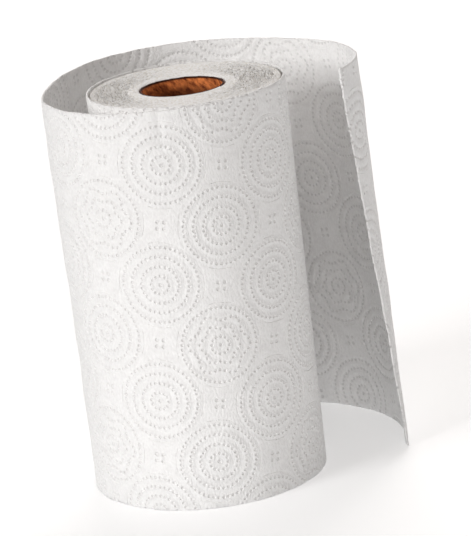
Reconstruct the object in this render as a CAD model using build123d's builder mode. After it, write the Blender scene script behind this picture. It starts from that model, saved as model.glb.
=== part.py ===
# A kitchen paper roll standing on its end. One long embossed web is wound on a card core, and its
# outermost turn is pulled loose: it leaves the roll at the front, loops round the left and the back,
# and its torn end curls forward again on the right.
# Millimetres. The core's axis is Z, the roll stands on Z = 0, and its front faces -Y.

import os
from math import cos, radians, sin

from build123d import *

os.makedirs("parts", exist_ok=True)

# The web as it is cut: its width is the height of the standing roll
web_width = 220.0
web_thickness = 0.6
turn_gap = 0.2  # air between one turn and the next

# The wound roll
roll_diameter = 110.8  # over the turn that comes loose
end_sink = 1.8  # how far the inner turns and the core lie below the rim at the top
rim_width = 4.0  # the outermost turns, which stand level with the loose turn

# The turns that show on both ends, drawn as one spiral groove
groove_pitch = 4.3
groove_width = 0.6
groove_depth = 1.2

# The card core
core_bore = 44.0
core_wall = 0.8
core_clearance = 0.1  # between the card and the first turn

# The loose turn: where it leaves the roll, seen from above, and its stretches in order.
# Each is part of a cone, as bent paper is: it turns through one angle, and its bend is wider than the
# roll by one amount along the bottom edge and by another along the top edge.
leaving_angle = -30.0
loose_stretches = [
    (151.5, 9.8, 10.9),  # across the front and round the left, just off the roll
    (29.5, 87.0, 87.0),  # away from the roll, to the back
    (77.0, 15.2, 13.6),  # round the back
    (28.5, 76.0, 70.0),  # across the back to the right
    (58.0, 16.0, 16.0),  # forward again
    (12.0, -33.0, 54.0),  # the free end, longer and more curled at the top
]

roll_radius = roll_diameter / 2
turn_pitch = web_thickness + turn_gap
core_radius = core_bore / 2 + core_wall
first_turn_radius = core_radius + core_clearance
core_length = web_width - end_sink
rim_radius = roll_radius - rim_width
groove_start = first_turn_radius + groove_pitch / 2
groove_half_turns = int(2 * (rim_radius - groove_width - groove_start) / groove_pitch)

outward = Vector(cos(radians(leaving_angle)), sin(radians(leaving_angle)))
clockwise = Vector(outward.Y, -outward.X)


def spiral_radii(start_radius, pitch, half_turns):
    """Radii of the semicircles of a spiral about two centres, which starts this far from the axis."""
    return [start_radius + pitch * (0.25 + 0.5 * half_turn) for half_turn in range(half_turns)]


def tangent_arcs(start_radius, radii, sweeps):
    """Clockwise arcs that run on from one another, from a point at the leaving angle."""
    arcs = []
    start = outward * start_radius
    heading = clockwise
    for radius, sweep in zip(radii, sweeps):
        arc = JernArc(start, heading, radius, -sweep)
        start = arc @ 1
        heading = arc % 1
        arcs.append(arc)
    return arcs


def strip_outline(inner_start, width, inner_radii, sweeps):
    """A strip of constant width that follows tangent arcs, closed by a straight line at each end."""
    inner = tangent_arcs(inner_start, inner_radii, sweeps)
    outer = tangent_arcs(inner_start + width, [radius + width for radius in inner_radii], sweeps)
    Line(inner[0] @ 0, outer[0] @ 0)
    Line(inner[-1] @ 1, outer[-1] @ 1)


def loose_outline(spreads):
    """The loose turn along one of its edges. Its outer face carries on from the roll's own."""
    inner_radii = [roll_radius + spread - web_thickness for spread in spreads]
    sweeps = [stretch[0] for stretch in loose_stretches]
    strip_outline(roll_radius - web_thickness, web_thickness, inner_radii, sweeps)


# Card core: a plain tube, flush with the inner turns at both ends
with BuildPart() as card_core:
    with BuildSketch():
        Circle(core_radius)
        Circle(core_bore / 2, mode=Mode.SUBTRACT)
    extrude(amount=core_length)

card_core.part.label = "card_core"
export_step(card_core.part, "parts/card_core.step")


# Paper web: the wound turns and the loose turn are one continuous sheet
with BuildPart() as paper_web:
    # The wound turns. Their outer face gains one turn on its way round to where the web leaves it.
    under_turn_radius = roll_radius - turn_pitch
    with BuildSketch():
        with BuildLine():
            tangent_arcs(under_turn_radius, spiral_radii(under_turn_radius, turn_pitch, 2), [180, 180])
            Line(outward * under_turn_radius, outward * roll_radius)
        make_face()
        Circle(first_turn_radius, mode=Mode.SUBTRACT)
    extrude(amount=web_width)

    # At the top, the inner turns have slid down a little inside the rim.
    with BuildSketch(Plane.XY.offset(core_length)):
        Circle(rim_radius)
    extrude(amount=end_sink, mode=Mode.SUBTRACT)

    # The edges of the turns on both ends
    groove_radii = spiral_radii(groove_start, groove_pitch, groove_half_turns)
    half_turns = [180] * groove_half_turns
    for end_height, depth in ((0, groove_depth), (core_length, -groove_depth)):
        with BuildSketch(Plane.XY.offset(end_height)):
            with BuildLine():
                strip_outline(groove_start, groove_width, groove_radii, half_turns)
            make_face()
        extrude(amount=depth, mode=Mode.SUBTRACT)

    # The loose turn, ruled from its bottom edge to its top edge
    with BuildSketch():
        with BuildLine():
            loose_outline([stretch[1] for stretch in loose_stretches])
        make_face()
    with BuildSketch(Plane.XY.offset(web_width)):
        with BuildLine():
            loose_outline([stretch[2] for stretch in loose_stretches])
        make_face()
    loft(ruled=True)

paper_web.part.label = "paper_web"
export_step(paper_web.part, "parts/paper_web.step")
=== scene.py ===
# A kitchen paper roll standing on its end: a card core, the web wound on it, and the outermost turn
# pulled loose, looping round the left and the back with its torn end curled forward on the right.
# Metres. The core's axis is Z, the roll stands on Z = 0, and its front faces -Y.
import math
import random

import bmesh
import bpy
from mathutils import Matrix, Vector, noise


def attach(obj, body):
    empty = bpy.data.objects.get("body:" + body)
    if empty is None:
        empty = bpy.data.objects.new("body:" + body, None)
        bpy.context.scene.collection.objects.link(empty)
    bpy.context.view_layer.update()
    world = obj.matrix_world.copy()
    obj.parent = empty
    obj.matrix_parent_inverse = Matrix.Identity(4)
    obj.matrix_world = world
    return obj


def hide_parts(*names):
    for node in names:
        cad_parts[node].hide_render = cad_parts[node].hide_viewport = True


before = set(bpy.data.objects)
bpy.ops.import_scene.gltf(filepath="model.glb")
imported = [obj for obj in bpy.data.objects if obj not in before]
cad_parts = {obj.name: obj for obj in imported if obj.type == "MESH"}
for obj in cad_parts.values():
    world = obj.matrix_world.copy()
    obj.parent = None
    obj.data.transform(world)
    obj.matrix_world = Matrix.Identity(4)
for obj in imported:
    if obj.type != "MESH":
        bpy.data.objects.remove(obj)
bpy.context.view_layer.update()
random.seed(12)


# Card core. Two plies of brown card wound in a long helix and glued together, with the edges of each
# ply butted, so that a slanting seam runs down the bore. The ends are cut square and a little fuzzy.
core_bore_radius = 0.0220
core_ply = 0.0004
core_glue = 0.00001  # left between the plies
core_length = 0.2182
core_lead = 0.088  # height gained in one turn of the helix
core_seam = 0.0007  # gap between the edges of a ply, along the axis
core_turns = 4.5  # more than the length needs, before the ends are cut
core_turn_steps = 80
core_turn_length = 0.16  # of card in one turn
core_cut_tolerance = 1e-7
core_end_fuzz = 0.00030
core_helix_starts = (("core_inner_ply", -0.100), ("core_outer_ply", -0.132))  # each ply's lowest corner

# core_dark colours the darker lip and the painted shade deep in the bore
core_dark = (0.040, 0.009, 0.003, 1)
core_brown = (0.120, 0.015, 0.003, 1)
core_tan = (0.820, 0.255, 0.070, 1)
core_end_dark_band = 0.0010  # the cut end and the lip of the bore are darker
core_painted_shade_top = 0.002  # painted shade: the bore's colour darkens from this far below its mouth
core_painted_shade_bottom = 0.012  # to this far below it


def matt_material(name, roughness, specular):
    """A new material, with the parts of it that its colour and its bumps are joined to."""
    material = bpy.data.materials.new(name)
    material.use_nodes = True
    shader = material.node_tree.nodes["Principled BSDF"]
    shader.inputs["Roughness"].default_value = roughness
    shader.inputs["Specular IOR Level"].default_value = specular
    return material, material.node_tree.nodes, material.node_tree.links, shader


def cut(bm, at, away, tolerance, trim=True):
    """Cuts every face along a plane, and trims off what lies beyond it."""
    everything = bm.verts[:] + bm.edges[:] + bm.faces[:]
    bmesh.ops.bisect_plane(
        bm, geom=everything, dist=tolerance, plane_co=at, plane_no=away, clear_outer=trim
    )


def place_piece(name, bm):
    """Makes a finished bmesh an object, smooth apart from the edges that are marked crisp."""
    for face in bm.faces:
        face.smooth = True
    mesh = bpy.data.meshes.new(name)
    bm.to_mesh(mesh)
    bm.free()
    piece = bpy.data.objects.new(name, mesh)
    bpy.context.collection.objects.link(piece)
    return piece


card, nodes, links, shader = matt_material("card", 0.85, 0.2)
along_ply = nodes.new("ShaderNodeUVMap")
along_ply.uv_map = "ply"
stretch = nodes.new("ShaderNodeMapping")
stretch.inputs["Scale"].default_value = (150, 230, 1)
links.new(along_ply.outputs["UV"], stretch.inputs["Vector"])
fibres = nodes.new("ShaderNodeTexNoise")
fibres.inputs["Scale"].default_value = 1.0
fibres.inputs["Detail"].default_value = 6.0
fibres.inputs["Roughness"].default_value = 0.7
links.new(stretch.outputs["Vector"], fibres.inputs["Vector"])
card_tint = nodes.new("ShaderNodeValToRGB")
card_tint.color_ramp.elements[0].position = 0.38
card_tint.color_ramp.elements[0].color = core_brown
card_tint.color_ramp.elements[1].position = 0.62
card_tint.color_ramp.elements[1].color = core_tan
links.new(fibres.outputs["Fac"], card_tint.inputs["Fac"])
on_core = nodes.new("ShaderNodeTexCoord")
up_core = nodes.new("ShaderNodeSeparateXYZ")
links.new(on_core.outputs["Object"], up_core.inputs["Vector"])
# the cut end and the lip of the bore are coloured darker
lip = nodes.new("ShaderNodeMapRange")
lip.interpolation_type = "SMOOTHSTEP"
lip.inputs["From Min"].default_value = core_length - 1.6 * core_end_dark_band
lip.inputs["From Max"].default_value = core_length - 0.7 * core_end_dark_band
links.new(up_core.outputs["Z"], lip.inputs["Value"])
# painted shade: the bore's colour darkens with depth below its mouth
painted_bore_shade = nodes.new("ShaderNodeMapRange")
painted_bore_shade.interpolation_type = "SMOOTHSTEP"
painted_bore_shade.inputs["From Min"].default_value = core_length - core_painted_shade_top
painted_bore_shade.inputs["From Max"].default_value = core_length - core_painted_shade_bottom
painted_bore_shade.inputs["To Max"].default_value = 0.88
links.new(up_core.outputs["Z"], painted_bore_shade.inputs["Value"])
lip_and_painted_shade = nodes.new("ShaderNodeMath")
lip_and_painted_shade.operation = "MAXIMUM"
links.new(lip.outputs["Result"], lip_and_painted_shade.inputs[0])
links.new(painted_bore_shade.outputs["Result"], lip_and_painted_shade.inputs[1])
# the darker lip and the painted shade deep in the bore are mixed into the card's colour
dark_lip_and_painted_shade = nodes.new("ShaderNodeMix")
dark_lip_and_painted_shade.data_type = "RGBA"
dark_lip_and_painted_shade.inputs["B"].default_value = core_dark
links.new(lip_and_painted_shade.outputs["Value"], dark_lip_and_painted_shade.inputs["Factor"])
links.new(card_tint.outputs["Color"], dark_lip_and_painted_shade.inputs["A"])
links.new(dark_lip_and_painted_shade.outputs["Result"], shader.inputs["Base Color"])
fibre_bump = nodes.new("ShaderNodeBump")
fibre_bump.inputs["Strength"].default_value = 0.5
fibre_bump.inputs["Distance"].default_value = 0.0004
links.new(fibres.outputs["Fac"], fibre_bump.inputs["Height"])
links.new(fibre_bump.outputs["Normal"], shader.inputs["Normal"])

for ply, (ply_name, helix_start) in enumerate(core_helix_starts):
    ply_radius = core_bore_radius + core_ply * ply
    bm = bmesh.new()
    bmesh.ops.create_grid(bm, x_segments=int(core_turns * core_turn_steps), y_segments=8, size=0.5)
    uv = bm.loops.layers.uv.new("ply")
    for face in bm.faces:
        for loop in face.loops:
            flat = loop.vert.co
            loop[uv].uv = ((flat.x + 0.5) * core_turns * core_turn_length, flat.y * core_lead)
    for vert in bm.verts:
        turn = (vert.co.x + 0.5) * core_turns
        climb = helix_start + core_lead * turn + (vert.co.y + 0.5) * (core_lead - core_seam)
        angle = math.tau * turn
        vert.co = (ply_radius * math.cos(angle), ply_radius * math.sin(angle), climb)
    cut(bm, (0, 0, 0), (0, 0, -1), core_cut_tolerance)
    cut(bm, (0, 0, core_length), (0, 0, 1), core_cut_tolerance)
    bm.normal_update()
    bm.faces.ensure_lookup_table()
    middle = bm.faces[0].calc_center_median()
    if bm.faces[0].normal.dot(Vector((middle.x, middle.y, 0))) < 0:
        bmesh.ops.reverse_faces(bm, faces=bm.faces[:])
    for vert in bm.verts:
        if vert.co.z > core_length - 1e-5:
            vert.co.z -= core_end_fuzz * random.random()
    tube = place_piece(ply_name, bm)
    wall = tube.modifiers.new("ply_thickness", "SOLIDIFY")
    wall.thickness = core_ply - core_glue
    wall.offset = 1.0
    tube.data.materials.append(card)
    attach(tube, "root")
    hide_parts("card_core")


# The wound turns. Soft two-ply tissue wound close, so each end shows the edges of the turns packed
# side by side: crinkled by the embossing, uneven in height, and sunk a little towards the core.
roll_height = 0.220
leaving_angle = math.radians(-30)  # where the outermost turn leaves the roll, seen from above
turns_inner = 0.0229
turns_outer = 0.0534
turn_count = 39
turn_steps = 320
turn_bunching = 0.00085  # how far slack turns wander sideways
end_sink = 0.0015
end_groove = 0.0005  # between one turn and the next
end_gap = 0.0030  # where the turns gape
end_edge = 0.00010  # how far the turns' own edges lie below the rim
end_uneven = 0.00008
end_uneven_slack = 0.00150
rim_drop = 0.0011  # the last turns slope away under the sheet on the roll
rim_share = 0.028
flattening = 0.0036  # how far the soft roll is pressed in on its left

paper_colour_high = (0.950, 0.947, 0.942, 1)
paper_colour_fuzz = (0.800, 0.772, 0.715, 1)
# painted shade in the grooves between the turns and along the rim
paper_colour_painted_gap_shade = (0.270, 0.245, 0.205, 1)

tissue_ends, nodes, links, shader = matt_material("tissue_ends", 0.95, 0.1)
on_roll = nodes.new("ShaderNodeTexCoord")
specks = nodes.new("ShaderNodeTexNoise")
specks.inputs["Scale"].default_value = 760.0
specks.inputs["Detail"].default_value = 4.0
links.new(on_roll.outputs["Object"], specks.inputs["Vector"])
end_tint = nodes.new("ShaderNodeValToRGB")
end_tint.color_ramp.elements[0].position = 0.34
end_tint.color_ramp.elements[0].color = paper_colour_fuzz
end_tint.color_ramp.elements[1].position = 0.54
end_tint.color_ramp.elements[1].color = paper_colour_high
links.new(specks.outputs["Fac"], end_tint.inputs["Fac"])
# painted shade: the grooves between the turns, and the rim under the sheet on the roll, are coloured darker
painted_gap_shade_attribute = nodes.new("ShaderNodeAttribute")
painted_gap_shade_attribute.attribute_name = "painted_gap_shade"
painted_gap_shade_mix = nodes.new("ShaderNodeMix")
painted_gap_shade_mix.data_type = "RGBA"
painted_gap_shade_mix.inputs["B"].default_value = paper_colour_painted_gap_shade
links.new(painted_gap_shade_attribute.outputs["Fac"], painted_gap_shade_mix.inputs["Factor"])
links.new(end_tint.outputs["Color"], painted_gap_shade_mix.inputs["A"])
links.new(painted_gap_shade_mix.outputs["Result"], shader.inputs["Base Color"])
fuzz_bump = nodes.new("ShaderNodeBump")
fuzz_bump.inputs["Strength"].default_value = 0.8
fuzz_bump.inputs["Distance"].default_value = 0.0006
links.new(specks.outputs["Fac"], fuzz_bump.inputs["Height"])
links.new(fuzz_bump.outputs["Normal"], shader.inputs["Normal"])


def crinkle(around, lap, scale, change, start):
    """Noise that runs along the turns and changes slowly from one turn to the next."""
    return noise.noise(around * scale + Vector((0, 0, lap * change + start)))


bm = bmesh.new()
painted_gap_shade = bm.verts.layers.float.new("painted_gap_shade")
for end in (1, 0):
    end_verts = bmesh.ops.create_grid(bm, x_segments=turn_count * turn_steps, y_segments=3, size=0.5)["verts"]
    for vert in end_verts:
        turn = (vert.co.x + 0.5) * turn_count
        across = vert.co.y + 0.5
        angle = leaving_angle - math.tau * turn
        facing = Vector((math.cos(angle), math.sin(angle), 0))
        lap = turn + across
        wound = lap / (turn_count + 1)
        # tight at the core, at the rim, at the front and at the back, and slack at the left and right
        slack = min(1.0, 6 * (1 - wound)) * min(1.0, max(0.0, 4 * wound - 0.4))
        slack *= 0.22 + 0.78 * abs(facing.x) ** 1.5
        around = facing * (turns_inner + (turns_outer - turns_inner) * wound)
        bunch = crinkle(around, lap, 260, 0.50, 40 * end)
        uneven = crinkle(around, lap, 420, 0.70, 70 * end)
        gape = slack * max(0.0, crinkle(around, lap, 480, 0.60, 90 * end))
        outer = turns_outer - flattening * max(0.0, -facing.x) ** 1.5
        radius = turns_inner + (outer - turns_inner) * wound + slack * turn_bunching * bunch
        rim_step = math.exp(-(1 - wound) / rim_share)
        if 0.2 < across < 0.8:
            depth = end_edge + (end_uneven + end_uneven_slack * slack) * (1 + uneven)
        else:
            depth = end_groove + end_gap * gape
            # painted shade in the groove between two turns
            vert[painted_gap_shade] = min(1.0, 4.4 * gape)
        depth += rim_drop * rim_step
        # painted shade along the rim, where the last turns slope away under the sheet
        vert[painted_gap_shade] = max(vert[painted_gap_shade], 0.75 * rim_step)
        if end:
            level = roll_height - 0.0002 - depth - end_sink * (1 - wound) ** 0.7
        else:
            level = depth
        vert.co = (radius * facing.x, radius * facing.y, level)
bmesh.ops.remove_doubles(bm, verts=bm.verts[:], dist=2e-5)
rims = [edge for edge in bm.edges if len(edge.link_faces) == 1]
middle_radius = (turns_inner + turns_outer) / 2
bore_rims = [edge for edge in rims if edge.verts[0].co.xy.length < middle_radius]
side_rims = [edge for edge in rims if edge.verts[0].co.xy.length > middle_radius]
bmesh.ops.bridge_loops(bm, edges=bore_rims)
bmesh.ops.bridge_loops(bm, edges=side_rims)
bmesh.ops.recalc_face_normals(bm, faces=bm.faces[:])
wound_turns = place_piece("wound_turns", bm)
wound_turns.data.materials.append(tissue_ends)
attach(wound_turns, "root")
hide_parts("paper_web")


# The embossing. Steel rolls press rings of round pits into both plies, with one pit in the middle, and
# four pits between short curved lines where four medallions meet. Every fourth medallion is a rosette
# with scalloped rings. The pattern stands on a square lattice that is turned a few degrees on the web.
emboss_pitch = 0.0647
emboss_turn = math.radians(7.5)
emboss_origin = Vector((0.0833, 0.1270, 0))
ring_radii = (0.0048, 0.0100, 0.0153, 0.0206)
ring_pits = (12, 24, 36, 48)
scallop = 0.11
scallop_count = 6
scalloped_rings = (1, 2)
pit_radius = 0.00108
large_pit_radius = 0.00132  # the middle pit and the four between medallions
four_pit_spread = 0.0018
pit_slope = 0.00040
pit_depth = 0.00060
line_radius = 0.0233
line_width = 0.0006
line_half_angle = math.radians(17)
corner = 0.0040  # half of the square round each four pits

half_pitch = emboss_pitch / 2
cell_side = emboss_pitch / math.sqrt(2)
ring_step = (ring_radii[-1] - ring_radii[0]) / (len(ring_radii) - 1)
reach = half_pitch - corner
tiles = {}
for tile_name in ("medallion", "rosette", "four_pits"):
    bm = bmesh.new()
    # the outline: an octagon round a medallion, or the square that fills the corner between four of them
    if tile_name == "four_pits":
        corners = [(corner, -corner), (corner, corner), (-corner, corner), (-corner, -corner)]
    else:
        corners = [(reach, -corner), (reach, corner), (corner, reach), (-corner, reach)]
        corners += [(-x, -y) for x, y in corners]
    points = [bm.verts.new((x, y, 0)) for x, y in corners]
    outline = [bm.edges.new((points[k - 1], points[k])) for k in range(len(points))]
    short_edges = [edge for edge in outline if edge.calc_length() < 2.1 * corner]
    long_edges = [edge for edge in outline if edge.calc_length() > 2.1 * corner]
    bmesh.ops.subdivide_edges(bm, edges=short_edges, cuts=1)
    if long_edges:
        bmesh.ops.subdivide_edges(bm, edges=long_edges, cuts=7)
    # the pits
    if tile_name == "four_pits":
        sides = (-four_pit_spread, four_pit_spread)
        pit_places = [(x, y, large_pit_radius) for x in sides for y in sides]
    else:
        pit_places = [(0, 0, large_pit_radius)]
        for ring, (ring_radius, count) in enumerate(zip(ring_radii, ring_pits)):
            swing = scallop if tile_name == "rosette" and ring in scalloped_rings else 0.0
            for step in range(count):
                angle = math.tau * step / count
                out = ring_radius * (1 + swing * math.cos(scallop_count * angle))
                pit_places.append((out * math.cos(angle), out * math.sin(angle), pit_radius))
    for x, y, radius in pit_places:
        bmesh.ops.create_circle(
            bm, segments=6, radius=radius, cap_ends=True, matrix=Matrix.Translation((x, y, 0))
        )
    # the curved lines
    if tile_name != "four_pits":
        for quarter in range(4):
            strip = bmesh.ops.create_grid(bm, x_segments=6, y_segments=1, size=0.5)["verts"]
            for vert in strip:
                angle = math.tau * quarter / 4 + 2 * line_half_angle * vert.co.x
                out = line_radius + line_width * vert.co.y
                vert.co = (out * math.cos(angle), out * math.sin(angle), 0)
    bmesh.ops.recalc_face_normals(bm, faces=bm.faces[:])
    bmesh.ops.reverse_faces(bm, faces=[face for face in bm.faces if face.normal.z < 0])
    stamped = bm.faces[:]
    # the rims of the pits and lines stay crisp
    for edge in bm.edges:
        edge.smooth = len(edge.link_faces) != 1
    open_edges = [edge for edge in bm.edges if len(edge.link_faces) < 2]
    bmesh.ops.triangle_fill(bm, use_beauty=True, edges=open_edges)
    bm.normal_update()
    bmesh.ops.reverse_faces(bm, faces=[face for face in bm.faces if face.normal.z < 0])
    pits = [face for face in stamped if len(face.verts) == 6]
    lines = [face for face in stamped if len(face.verts) == 4]
    bmesh.ops.inset_individual(bm, faces=pits, thickness=pit_slope, depth=-pit_depth)
    if lines:
        bmesh.ops.inset_region(bm, faces=lines, thickness=line_width / 3, depth=-pit_depth / 2)
    tiles[tile_name] = bpy.data.meshes.new(tile_name)
    bm.to_mesh(tiles[tile_name])
    bm.free()


# The outermost turn and the loose turn. The web is perforated across into sheets, and each sheet is one
# piece here: two still on the roll, one that leaves it, and the torn end. The two plies are a millimetre
# thick over their embossing, and the paper bends only one way at a time.
roll_radius = 0.0554
turn_pitch = 0.0010
web_thickness = 0.0010
sheet_length = 0.262  # from one perforation to the next
inner_relief = 0.61  # depth of the inner ply's pits, as a share of the outer ply's
outer_pit_painted_shade = 0.17  # painted shade in the outer ply's pits; the inner ply's, below, is stronger
inner_pit_painted_shade = 0.323
slit_pitch = 0.0095  # along the perforation
tear_depth = 0.0005
tear_reach = 0.004
edge_fuzz = 0.00035
edge_reach = 0.006
broad_wave = 0.0007  # the loose paper is a little wavy
small_wave = 0.0006
settle_length = 0.08  # the waves grow over this length from where the web leaves the roll
dent_place = 0.0735  # where the web was pinched as it was pulled
dent_width = 0.0018
dent_depth = 0.0008
dent_foot = 0.89  # share of the height at which the dent starts
curl_length = 0.035  # of the free end
curl_height = 0.0032
pattern_drift = Vector((0.013, 0.005, 0))  # the pattern wanders a little where the paper was pulled
drift_start = 0.175
drift_stop = 0.330
flat_tolerance = 2e-5  # for cuts and joins in the flat web

# each stretch of the loose turn: the angle it turns through, in degrees, and how much wider than the
# roll it bends at its bottom edge and at its top edge
loose_stretches = (
    (151.5, 0.0098, 0.0109),  # across the front and round the left, just off the roll
    (29.5, 0.0870, 0.0870),  # away from the roll, to the back
    (77.0, 0.0152, 0.0136),  # round the back
    (28.5, 0.0760, 0.0700),  # across the back to the right
    (58.0, 0.0160, 0.0160),  # forward again
    (12.0, -0.0330, 0.0540),  # the free end, longer and more curled at the top
)
loose_arcs = []
heading = leaving_angle
leaving_point = Vector((math.cos(heading), math.sin(heading))) * roll_radius
edge_starts = [leaving_point, leaving_point]
loose_length = 0.0
for degrees, spread_bottom, spread_top in loose_stretches:
    sweep = math.radians(degrees)
    facing = Vector((math.cos(heading), math.sin(heading)))
    radii = (roll_radius + spread_bottom, roll_radius + spread_top)
    centres = [start - facing * radius for start, radius in zip(edge_starts, radii)]
    length = sweep * sum(radii) / 2
    loose_arcs.append((loose_length, length, heading, sweep, centres, radii))
    heading -= sweep
    facing = Vector((math.cos(heading), math.sin(heading)))
    edge_starts = [centre + facing * radius for centre, radius in zip(centres, radii)]
    loose_length += length

paper_colour_low = (0.850, 0.843, 0.837, 1)
# the colour of the painted shade in the pits
paper_colour_painted_pit_shade = (0.520, 0.510, 0.500, 1)

tissue, nodes, links, shader = matt_material("tissue", 0.95, 0.1)
on_web = nodes.new("ShaderNodeUVMap")
on_web.uv_map = "web"
crepe_scale = nodes.new("ShaderNodeMapping")
crepe_scale.inputs["Scale"].default_value = (850, 480, 1)
links.new(on_web.outputs["UV"], crepe_scale.inputs["Vector"])
crepe = nodes.new("ShaderNodeTexNoise")
crepe.inputs["Scale"].default_value = 1.0
crepe.inputs["Detail"].default_value = 4.0
links.new(crepe_scale.outputs["Vector"], crepe.inputs["Vector"])
cloud = nodes.new("ShaderNodeTexNoise")
cloud.inputs["Scale"].default_value = 160.0
cloud.inputs["Detail"].default_value = 5.0
links.new(on_web.outputs["UV"], cloud.inputs["Vector"])
grain = nodes.new("ShaderNodeMix")
grain.data_type = "FLOAT"
grain.inputs["Factor"].default_value = 0.6
links.new(cloud.outputs["Fac"], grain.inputs["A"])
links.new(crepe.outputs["Fac"], grain.inputs["B"])
web_tint = nodes.new("ShaderNodeValToRGB")
web_tint.color_ramp.elements[0].position = 0.32
web_tint.color_ramp.elements[0].color = paper_colour_low
web_tint.color_ramp.elements[1].position = 0.62
web_tint.color_ramp.elements[1].color = paper_colour_high
links.new(grain.outputs["Result"], web_tint.inputs["Fac"])
# painted shade: the pits are coloured darker
painted_pit_shade_attribute = nodes.new("ShaderNodeAttribute")
painted_pit_shade_attribute.attribute_name = "painted_pit_shade"
painted_pit_shade_mix = nodes.new("ShaderNodeMix")
painted_pit_shade_mix.data_type = "RGBA"
painted_pit_shade_mix.inputs["B"].default_value = paper_colour_painted_pit_shade
links.new(painted_pit_shade_attribute.outputs["Fac"], painted_pit_shade_mix.inputs["Factor"])
links.new(web_tint.outputs["Color"], painted_pit_shade_mix.inputs["A"])
links.new(painted_pit_shade_mix.outputs["Result"], shader.inputs["Base Color"])
# between the rings of pits the paper is puffed up: a wave that repeats with the medallions
on_lattice = nodes.new("ShaderNodeMapping")
on_lattice.vector_type = "TEXTURE"
on_lattice.inputs["Location"].default_value = emboss_origin
on_lattice.inputs["Rotation"].default_value = (0, 0, emboss_turn + math.pi / 4)
on_lattice.inputs["Scale"].default_value = (cell_side, cell_side, 1)
links.new(on_web.outputs["UV"], on_lattice.inputs["Vector"])
to_corner = nodes.new("ShaderNodeVectorMath")
to_corner.operation = "ADD"
to_corner.inputs[1].default_value = (0.5, 0.5, 0)
links.new(on_lattice.outputs["Vector"], to_corner.inputs[0])
in_cell = nodes.new("ShaderNodeVectorMath")
in_cell.operation = "FRACTION"
links.new(to_corner.outputs["Vector"], in_cell.inputs[0])
from_middle = nodes.new("ShaderNodeVectorMath")
from_middle.operation = "DISTANCE"
from_middle.inputs[1].default_value = (0.5, 0.5, 0)
links.new(in_cell.outputs["Vector"], from_middle.inputs[0])
phase = nodes.new("ShaderNodeMath")
phase.operation = "MULTIPLY_ADD"
phase.inputs[1].default_value = math.tau * cell_side / ring_step
phase.inputs[2].default_value = math.pi - math.tau * ring_radii[0] / ring_step
links.new(from_middle.outputs["Value"], phase.inputs[0])
puff = nodes.new("ShaderNodeMath")
puff.operation = "COSINE"
links.new(phase.outputs["Value"], puff.inputs[0])
ebb = nodes.new("ShaderNodeMapRange")
ebb.interpolation_type = "SMOOTHSTEP"
ebb.inputs["From Min"].default_value = (ring_radii[-1] + 0.1 * ring_step) / cell_side
ebb.inputs["From Max"].default_value = (ring_radii[-1] + 0.9 * ring_step) / cell_side
ebb.inputs["To Min"].default_value = 1.0
ebb.inputs["To Max"].default_value = 0.0
links.new(from_middle.outputs["Value"], ebb.inputs["Value"])
puffs = nodes.new("ShaderNodeMath")
puffs.operation = "MULTIPLY"
links.new(puff.outputs["Value"], puffs.inputs[0])
links.new(ebb.outputs["Result"], puffs.inputs[1])
puff_bump = nodes.new("ShaderNodeBump")
puff_bump.inputs["Strength"].default_value = 0.8
puff_bump.inputs["Distance"].default_value = 0.00020
links.new(puffs.outputs["Value"], puff_bump.inputs["Height"])
crepe_bump = nodes.new("ShaderNodeBump")
crepe_bump.inputs["Strength"].default_value = 1.0
crepe_bump.inputs["Distance"].default_value = 0.00055
links.new(crepe.outputs["Fac"], crepe_bump.inputs["Height"])
links.new(puff_bump.outputs["Normal"], crepe_bump.inputs["Normal"])
links.new(crepe_bump.outputs["Normal"], shader.inputs["Normal"])

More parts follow.
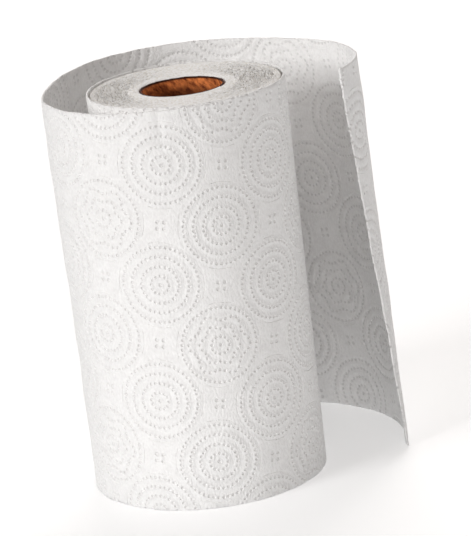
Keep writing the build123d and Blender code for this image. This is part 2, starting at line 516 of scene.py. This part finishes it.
column = Vector((-math.sin(emboss_turn), math.cos(emboss_turn), 0))
row = Vector((math.cos(emboss_turn), math.sin(emboss_turn), 0))
tear = loose_length - sheet_length
sheets = (
    ("sheet_under", -math.tau * roll_radius, tear - 2 * sheet_length),
    ("sheet_on_roll", tear - 2 * sheet_length, tear - sheet_length),
    ("sheet_leaving", tear - sheet_length, tear),
    ("sheet_end", tear, loose_length),
)
for sheet_name, sheet_start, sheet_stop in sheets:
    # the outer ply, laid flat with some to spare, and cut to the sheet
    bm = bmesh.new()
    for i in range(-30, 40):
        for j in range(-26, 26):
            centre = emboss_origin + (row * i + column * j) * half_pitch
            if not sheet_start - 0.050 < centre.x < sheet_stop + 0.035:
                continue
            if not -0.040 < centre.y < roll_height + 0.035:
                continue
            if (i + j) % 2:
                tile = tiles["four_pits"]
            elif i % 2 and (i + j) // 2 % 2:
                tile = tiles["rosette"]
            else:
                tile = tiles["medallion"]
            before = len(bm.verts)
            bm.from_mesh(tile)
            bm.verts.ensure_lookup_table()
            turned = Matrix.Translation(centre) @ Matrix.Rotation(emboss_turn, 4, "Z")
            bmesh.ops.transform(bm, matrix=turned, verts=bm.verts[before:])
    bmesh.ops.remove_doubles(bm, verts=bm.verts[:], dist=flat_tolerance)
    uv = bm.loops.layers.uv.new("web")
    for face in bm.faces:
        for loop in face.loops:
            loop[uv].uv = loop.vert.co.xy
    for vert in bm.verts:
        share = min(max((vert.co.x - drift_start) / (drift_stop - drift_start), 0.0), 1.0)
        vert.co += pattern_drift * (3 * share**2 - 2 * share**3)
    cut(bm, (sheet_start, 0, 0), (-1, 0, 0), flat_tolerance)
    cut(bm, (sheet_stop, 0, 0), (1, 0, 0), flat_tolerance)
    cut(bm, (0, 0, 0), (0, -1, 0), flat_tolerance)
    cut(bm, (0, roll_height, 0), (0, 1, 0), flat_tolerance)
    for fold in (-1.5, -0.5, 0.5, 1.5):
        cut(bm, (dent_place + fold * dent_width, 0, 0), (1, 0, 0), flat_tolerance, trim=False)
    # the last sheet is torn from slit to slit, and the edges that a blade cut are a little uneven
    if sheet_name == "sheet_end":
        torn = [edge for edge in bm.edges if all(vert.co.x > sheet_stop - 1e-5 for vert in edge.verts)]
        bmesh.ops.subdivide_edges(bm, edges=torn, cuts=2)
        for vert in bm.verts:
            share = max(0.0, (vert.co.x - sheet_stop + tear_reach) / tear_reach)
            slit = min(1.0, abs(vert.co.y / slit_pitch % 1 - 0.5) / 0.12)
            tab = noise.noise(Vector((vert.co.y * 900, 5.1, 0.3)))
            vert.co.x -= share * tear_depth * (slit + 0.5 * tab + 0.5)
    for vert in bm.verts:
        fuzz = edge_fuzz * (1 + noise.noise(Vector((vert.co.x * 140, 3.3, 8.1))))
        vert.co.y -= fuzz * max(0.0, (vert.co.y - roll_height + edge_reach) / edge_reach)
        vert.co.y += 0.5 * fuzz * max(0.0, (edge_reach - vert.co.y) / edge_reach)
    # the inner ply, pressed less deep from its own side, and the cut edges between them
    painted_pit_shade = bm.verts.layers.float.new("painted_pit_shade")
    # painted shade: the bottoms of the outer ply's pits are marked for a darker colour
    for vert in bm.verts:
        if vert.co.z < -0.8 * pit_depth:
            vert[painted_pit_shade] = outer_pit_painted_shade
    inner = bmesh.ops.duplicate(bm, geom=bm.verts[:] + bm.edges[:] + bm.faces[:])["geom"]
    for vert in inner:
        if isinstance(vert, bmesh.types.BMVert):
            vert.co.z = -web_thickness - inner_relief * vert.co.z
            # the inner ply's pits get a stronger painted shade
            if vert[painted_pit_shade]:
                vert[painted_pit_shade] = inner_pit_painted_shade
    bmesh.ops.bridge_loops(bm, edges=[edge for edge in bm.edges if len(edge.link_faces) == 1])
    # wound on the roll, and then away from it
    for vert in bm.verts:
        along, up, relief = vert.co
        rise = up / roll_height
        if along <= 0:
            angle = leaving_angle - along / roll_radius
            facing = Vector((math.cos(angle), math.sin(angle)))
            ground = facing * (roll_radius + turn_pitch * along / (math.tau * roll_radius))
            relief -= flattening * max(0.0, -facing.x) ** 1.5
        else:
            reached = [arc for arc in loose_arcs if arc[0] <= along + 1e-9]
            arc_start, arc_length, arc_heading, arc_sweep, centres, radii = reached[-1]
            angle = arc_heading - arc_sweep * (along - arc_start) / arc_length
            facing = Vector((math.cos(angle), math.sin(angle)))
            low, high = (centre + facing * radius for centre, radius in zip(centres, radii))
            ground = low.lerp(high, rise)
            loose = min(along / settle_length, 1.0)
            relief += broad_wave * loose * (noise.noise(Vector((along * 22, up * 15, 2.2))) - 0.4)
            relief += small_wave * loose * (noise.noise(Vector((along * 70, up * 55, 7.4))) - 0.4)
            pinch = math.exp(-(((along - dent_place) / dent_width) ** 2))
            relief -= dent_depth * pinch * max(0.0, (rise - dent_foot) / (1 - dent_foot))
            curl = max(0.0, 1 - (loose_length - along) / curl_length)
            relief += curl_height * curl**2 * (1 - 2 * rise)
        ground = ground + facing * relief
        vert.co = (ground.x, ground.y, max(up, 0.0))
    bmesh.ops.recalc_face_normals(bm, faces=bm.faces[:])
    sheet = place_piece(sheet_name, bm)
    sheet.data.materials.append(tissue)
    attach(sheet, "root")
    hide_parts("paper_web")
for tile in tiles.values():
    bpy.data.meshes.remove(tile)


# The studio: a wide white floor under a white sky, a soft key light from the left, a weak fill from the
# front and a soft light from behind. The floor throws more light to the right and just before the roll.
floor_half = 9.0
floor_seen = (0.80, 0.80, 0.80, 1)
floor_unseen = (0.36, 0.36, 0.36, 1)
floor_glow_seen = 0.36
foot_light_place = (0, -0.25, 0)


def seen_directly(nodes, links):
    """1 for what the camera sees, also in a mirror or through glass, and 0 for what lights the roll."""
    rays = nodes.new("ShaderNodeLightPath")
    mirrored = nodes.new("ShaderNodeMath")
    mirrored.operation = "MAXIMUM"
    links.new(rays.outputs["Is Glossy Ray"], mirrored.inputs[0])
    links.new(rays.outputs["Is Transmission Ray"], mirrored.inputs[1])
    direct = nodes.new("ShaderNodeMath")
    direct.operation = "MAXIMUM"
    links.new(rays.outputs["Is Camera Ray"], direct.inputs[0])
    links.new(mirrored.outputs["Value"], direct.inputs[1])
    return direct.outputs["Value"]


bm = bmesh.new()
bmesh.ops.create_grid(bm, x_segments=1, y_segments=1, size=floor_half)
floor = place_piece("floor", bm)
white_floor = bpy.data.materials.new("white_floor")
white_floor.use_nodes = True
nodes = white_floor.node_tree.nodes
links = white_floor.node_tree.links
nodes.clear()
surface = nodes.new("ShaderNodeOutputMaterial")
matte = nodes.new("ShaderNodeBsdfDiffuse")
glow = nodes.new("ShaderNodeEmission")
glow.inputs["Color"].default_value = (1, 1, 1, 1)
floor_is_seen = seen_directly(nodes, links)
on_floor = nodes.new("ShaderNodeTexCoord")
floor_side = nodes.new("ShaderNodeSeparateXYZ")
links.new(on_floor.outputs["Object"], floor_side.inputs["Vector"])
bounce = nodes.new("ShaderNodeMapRange")
bounce.inputs["From Min"].default_value = -0.5
bounce.inputs["From Max"].default_value = 0.5
bounce.inputs["To Min"].default_value = 0.15
bounce.inputs["To Max"].default_value = 0.70
links.new(floor_side.outputs["X"], bounce.inputs["Value"])
from_foot = nodes.new("ShaderNodeVectorMath")
from_foot.operation = "DISTANCE"
from_foot.inputs[1].default_value = foot_light_place
links.new(on_floor.outputs["Object"], from_foot.inputs[0])
near_foot = nodes.new("ShaderNodeMapRange")
near_foot.interpolation_type = "SMOOTHSTEP"
near_foot.inputs["From Min"].default_value = 0.06
near_foot.inputs["From Max"].default_value = 0.25
near_foot.inputs["To Min"].default_value = 0.60
near_foot.inputs["To Max"].default_value = 0.0
links.new(from_foot.outputs["Value"], near_foot.inputs["Value"])
thrown = nodes.new("ShaderNodeMath")
thrown.operation = "ADD"
links.new(bounce.outputs["Result"], thrown.inputs[0])
links.new(near_foot.outputs["Result"], thrown.inputs[1])
pale = nodes.new("ShaderNodeMix")
pale.data_type = "RGBA"
pale.inputs["A"].default_value = floor_unseen
pale.inputs["B"].default_value = floor_seen
links.new(floor_is_seen, pale.inputs["Factor"])
links.new(pale.outputs["Result"], matte.inputs["Color"])
glow_strength = nodes.new("ShaderNodeMix")
glow_strength.data_type = "FLOAT"
glow_strength.inputs["B"].default_value = floor_glow_seen
links.new(floor_is_seen, glow_strength.inputs["Factor"])
links.new(thrown.outputs["Value"], glow_strength.inputs["A"])
links.new(glow_strength.outputs["Result"], glow.inputs["Strength"])
both = nodes.new("ShaderNodeAddShader")
links.new(matte.outputs[0], both.inputs[0])
links.new(glow.outputs[0], both.inputs[1])
links.new(both.outputs[0], surface.inputs["Surface"])
floor.data.materials.append(white_floor)

world = bpy.data.worlds.new("studio")
bpy.context.scene.world = world
world.use_nodes = True
nodes = world.node_tree.nodes
links = world.node_tree.links
sky = nodes["Background"]
sky.inputs["Color"].default_value = (1.0, 0.945, 0.915, 1)
towards = nodes.new("ShaderNodeTexCoord")
upward = nodes.new("ShaderNodeSeparateXYZ")
links.new(towards.outputs["Generated"], upward.inputs["Vector"])
from_above = nodes.new("ShaderNodeMath")
from_above.operation = "MULTIPLY_ADD"
from_above.use_clamp = True
from_above.inputs[1].default_value = 0.40
from_above.inputs[2].default_value = 0.06
links.new(upward.outputs["Z"], from_above.inputs[0])
backdrop = nodes.new("ShaderNodeMath")
backdrop.operation = "MAXIMUM"
links.new(seen_directly(nodes, links), backdrop.inputs[0])
links.new(from_above.outputs["Value"], backdrop.inputs[1])
links.new(backdrop.outputs["Value"], sky.inputs["Strength"])

lamp_aim = Vector((0, 0, 0.12))
lamps = (
    ("key", (-3.84, -2.34, 1.84), 1.8, 128.0, (1.0, 1.0, 1.0)),
    ("fill", (0.44, -4.42, 2.08), 2.4, 30.0, (1.0, 0.94, 0.91)),
    ("rear", (1.00, 4.00, 2.52), 2.8, 132.0, (1.0, 0.97, 0.95)),
)
for lamp_name, lamp_place, size, power, colour in lamps:
    lamp_data = bpy.data.lights.new(lamp_name, "AREA")
    lamp_data.size = size
    lamp_data.energy = power
    lamp_data.color = colour
    lamp = bpy.data.objects.new(lamp_name, lamp_data)
    lamp.location = lamp_place
    lamp.rotation_euler = (lamp_aim - Vector(lamp_place)).to_track_quat("-Z", "Y").to_euler()
    bpy.context.collection.objects.link(lamp)

# The camera stands in front and above, and is rolled a little.
camera_place = (0, -1.430, 0.531)
camera_yaw = -0.0121
camera_pitch = -0.2835
camera_roll = -0.1158
camera_data = bpy.data.cameras.new("camera")
camera_data.lens = 184.1
camera_data.sensor_width = 36.0
camera_data.clip_end = 50
camera = bpy.data.objects.new("camera", camera_data)
bpy.context.collection.objects.link(camera)
level_view = Matrix(((1, 0, 0), (0, 0, -1), (0, 1, 0)))
turned_view = Matrix.Rotation(camera_yaw, 3, "Z") @ Matrix.Rotation(camera_pitch, 3, "X")
view_rows = Matrix.Rotation(camera_roll, 3, "Z") @ level_view @ turned_view.transposed()
camera_pose = Matrix((view_rows[0], -view_rows[1], -view_rows[2])).transposed().to_4x4()
camera_pose.translation = camera_place
camera.matrix_world = camera_pose
bpy.context.scene.camera = camera
bpy.context.scene.view_settings.view_transform = "Standard"

bpy.context.view_layer.update()
